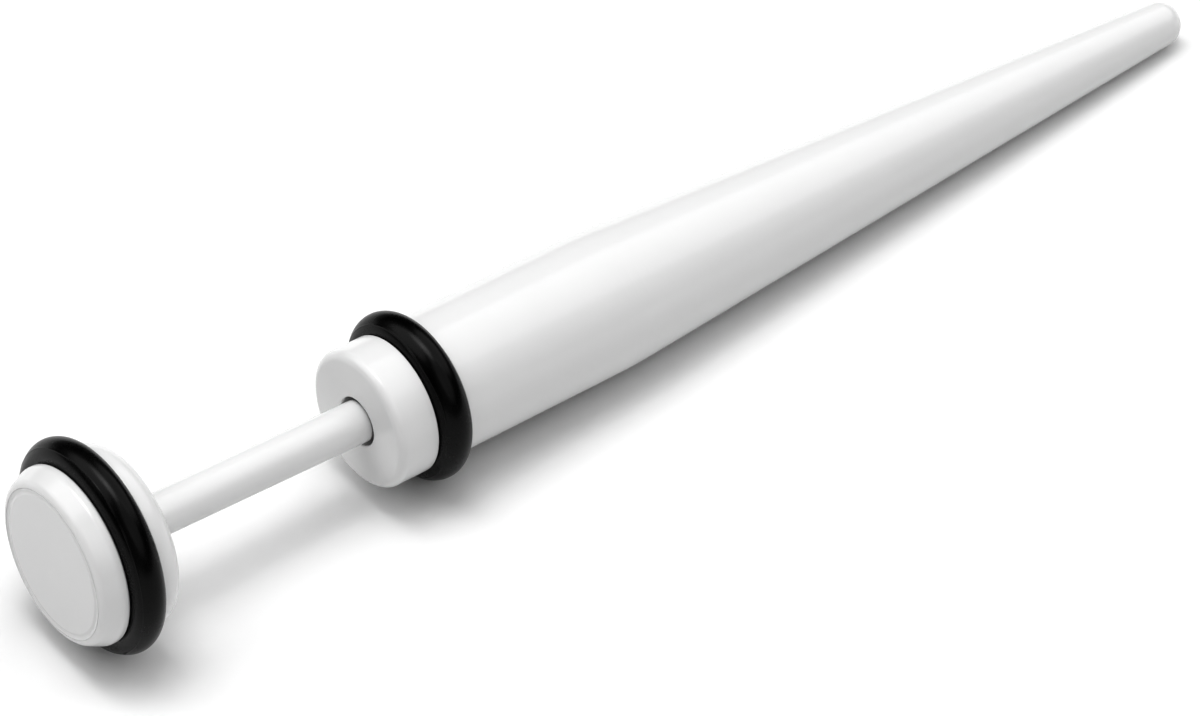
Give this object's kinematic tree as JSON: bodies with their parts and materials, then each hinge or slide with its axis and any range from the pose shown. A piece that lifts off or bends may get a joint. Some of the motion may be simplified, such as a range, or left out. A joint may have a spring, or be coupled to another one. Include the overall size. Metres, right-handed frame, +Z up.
{
  "type": "faux taper earring",
  "caption": "Faux taper earring: a round plate, a thin post through the lobe and a long tapered spike behind it, with rubber rings in grooves, lying on its side.",
  "frame": {"origin": "on the surface that the earring lies on, below the middle of its bounding box", "axes": "+X level, from the round plate to the taper's tip; +Z up from the surface"},
  "size_m": [0.0398, 0.0062, 0.0061],
  "materials": {
    "white_coating": "glossy white coating on steel",
    "black_rubber": "moulded black rubber with a dull shine"
  },
  "bodies": {
    "taper": {"taper": "white_coating", "taper_o_ring": "black_rubber"},
    "stud": {"front_disc": "white_coating", "disc_o_ring": "black_rubber", "post": "white_coating"}
  },
  "joints": [
    {"name": "post_slide", "type": "slide", "parent": "taper", "child": "stud", "axis": [-0.9976, 0.0262, 0.0641], "range_m": [0, 0.012]}
  ]
}
